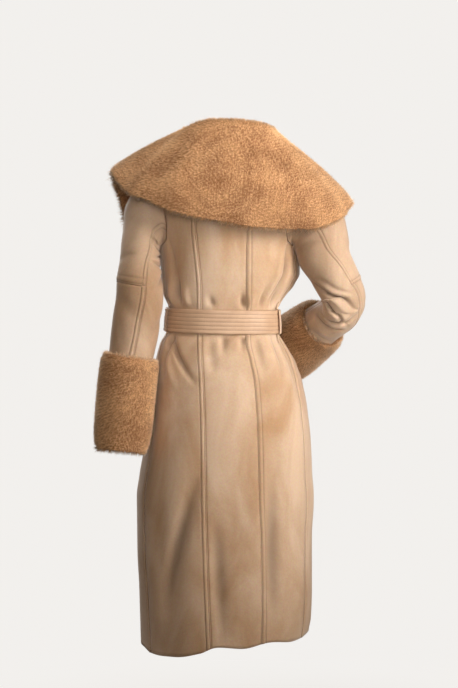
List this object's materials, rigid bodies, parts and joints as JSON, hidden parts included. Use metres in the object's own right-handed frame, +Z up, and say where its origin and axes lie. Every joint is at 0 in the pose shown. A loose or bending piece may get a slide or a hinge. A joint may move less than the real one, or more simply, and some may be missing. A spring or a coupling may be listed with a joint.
{
  "type": "coat",
  "caption": "Belted midi coat of tan faux suede with a wide faux fur shawl collar, deep turned-back fur cuffs and a channelled leather-like belt, in worn form.",
  "frame": {"origin": "base of the neck, on the line of the shoulders that carry the coat, at the mount shoulders", "axes": "+Z up along the standing wearer, -Y towards the front of the coat, +X towards the wearer's left"},
  "size_m": [0.613, 0.3584, 1.1988],
  "materials": {
    "faux_suede": "tan faux suede with a short nap, matte",
    "faux_fur": "caramel long-pile faux fur",
    "faux_leather": "smooth camel faux leather, satin"
  },
  "bodies": {
    "root": {"back_centre": "faux_suede", "back_side_left": "faux_suede", "back_side_right": "faux_suede", "front_left": "faux_suede", "front_right": "faux_suede", "sleeve_left_top_upper": "faux_suede", "sleeve_left_top_lower": "faux_suede", "sleeve_left_under": "faux_suede", "sleeve_right_top_upper": "faux_suede", "sleeve_right_top_lower": "faux_suede", "sleeve_right_under": "faux_suede", "belt_loop_left": "faux_suede", "belt_loop_right": "faux_suede", "collar": "faux_fur", "cuff_left": "faux_fur", "cuff_right": "faux_fur", "belt": "faux_leather", "buckle": "faux_leather"}
  },
  "joints": []
}
